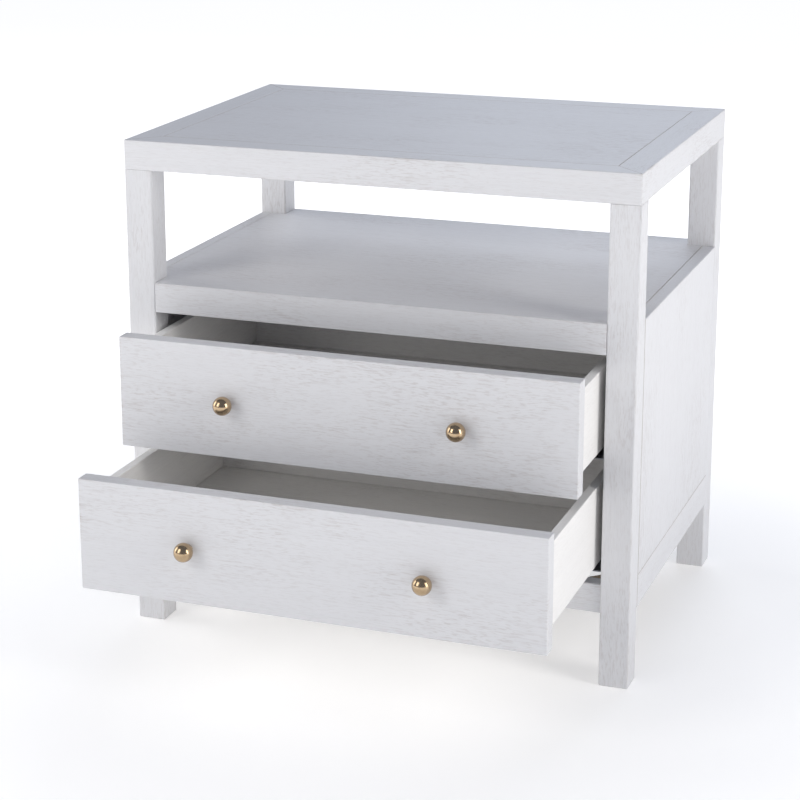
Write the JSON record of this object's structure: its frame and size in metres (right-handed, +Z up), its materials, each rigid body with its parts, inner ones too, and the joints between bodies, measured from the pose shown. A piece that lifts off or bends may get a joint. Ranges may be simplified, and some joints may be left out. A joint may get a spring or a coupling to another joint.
{
  "type": "nightstand with drawers",
  "caption": "Nightstand with an open shelf over inset drawers on concealed slides, square legs, a mitre-framed top and round metal knobs.",
  "frame": {"origin": "on the floor, centred from left to right, and midway between the front of the open lower drawer's knobs and the back of the case", "axes": "+X to the right as seen from the front, +Y from the front to the back, +Z up; the drawers pull out along -Y"},
  "size_m": [0.708, 0.7696, 0.686],
  "materials": {
    "washed_wood": "whitewashed, satin, fine grain",
    "drawer_wood": "whitewashed, satin, inside of the drawers",
    "frame_wood": "bare, sanded, not seen from outside",
    "polished_brass": "polished",
    "screw_steel": "plated",
    "zinc_steel": "zinc plated, satin"
  },
  "bodies": {
    "case": {"apron_back": "washed_wood", "apron_front": "washed_wood", "apron_left": "washed_wood", "apron_right": "washed_wood", "back_panel": "washed_wood", "back_rail": "washed_wood", "front_rail": "washed_wood", "glue_block_back_left": "frame_wood", "glue_block_back_right": "frame_wood", "glue_block_front_left": "frame_wood", "glue_block_front_right": "frame_wood", "leg_back_left": "washed_wood", "leg_back_right": "washed_wood", "leg_front_left": "washed_wood", "leg_front_right": "washed_wood", "lower_cleat_left": "frame_wood", "lower_cleat_right": "frame_wood", "lower_slide_case_rail_left": "zinc_steel", "lower_slide_case_rail_right": "zinc_steel", "shelf_back_rail": "washed_wood", "shelf_front_edge": "washed_wood", "shelf_panel": "washed_wood", "side_panel_left": "washed_wood", "side_panel_right": "washed_wood", "side_rail_left": "washed_wood", "side_rail_right": "washed_wood", "top_panel": "washed_wood", "upper_cleat_left": "frame_wood", "upper_cleat_right": "frame_wood", "upper_slide_case_rail_left": "zinc_steel", "upper_slide_case_rail_right": "zinc_steel"},
    "lower_drawer": {"lower_drawer_back": "drawer_wood", "lower_drawer_bottom": "drawer_wood", "lower_drawer_front": "washed_wood", "lower_drawer_side_left": "drawer_wood", "lower_drawer_side_right": "drawer_wood", "lower_knob_left": "polished_brass", "lower_knob_right": "polished_brass", "lower_knob_screw_left": "screw_steel", "lower_knob_screw_right": "screw_steel", "lower_slide_drawer_rail_left": "zinc_steel", "lower_slide_drawer_rail_right": "zinc_steel"},
    "lower_slide_middles": {"lower_slide_middle_rail_left": "zinc_steel", "lower_slide_middle_rail_right": "zinc_steel"},
    "upper_drawer": {"upper_drawer_back": "drawer_wood", "upper_drawer_bottom": "drawer_wood", "upper_drawer_front": "washed_wood", "upper_drawer_side_left": "drawer_wood", "upper_drawer_side_right": "drawer_wood", "upper_knob_left": "polished_brass", "upper_knob_right": "polished_brass", "upper_knob_screw_left": "screw_steel", "upper_knob_screw_right": "screw_steel", "upper_slide_drawer_rail_left": "zinc_steel", "upper_slide_drawer_rail_right": "zinc_steel"},
    "upper_slide_middles": {"upper_slide_middle_rail_left": "zinc_steel", "upper_slide_middle_rail_right": "zinc_steel"}
  },
  "joints": [
    {"name": "upper_drawer_slide", "type": "slide", "parent": "case", "child": "upper_drawer", "axis": [0, -1, 0], "range_m": [-0.115, 0.26]},
    {"name": "lower_drawer_slide", "type": "slide", "parent": "case", "child": "lower_drawer", "axis": [0, -1, 0], "range_m": [-0.242, 0.133]},
    {"name": "upper_middle_rail_slide", "type": "slide", "parent": "case", "child": "upper_slide_middles", "axis": [0, -1, 0], "range_m": [-0.0575, 0.13]},
    {"name": "lower_middle_rail_slide", "type": "slide", "parent": "case", "child": "lower_slide_middles", "axis": [0, -1, 0], "range_m": [-0.121, 0.0665]}
  ],
  "couplings": [
    {"joint": "upper_middle_rail_slide", "follows": "upper_drawer_slide", "ratio": 0.5},
    {"joint": "lower_middle_rail_slide", "follows": "lower_drawer_slide", "ratio": 0.5}
  ]
}
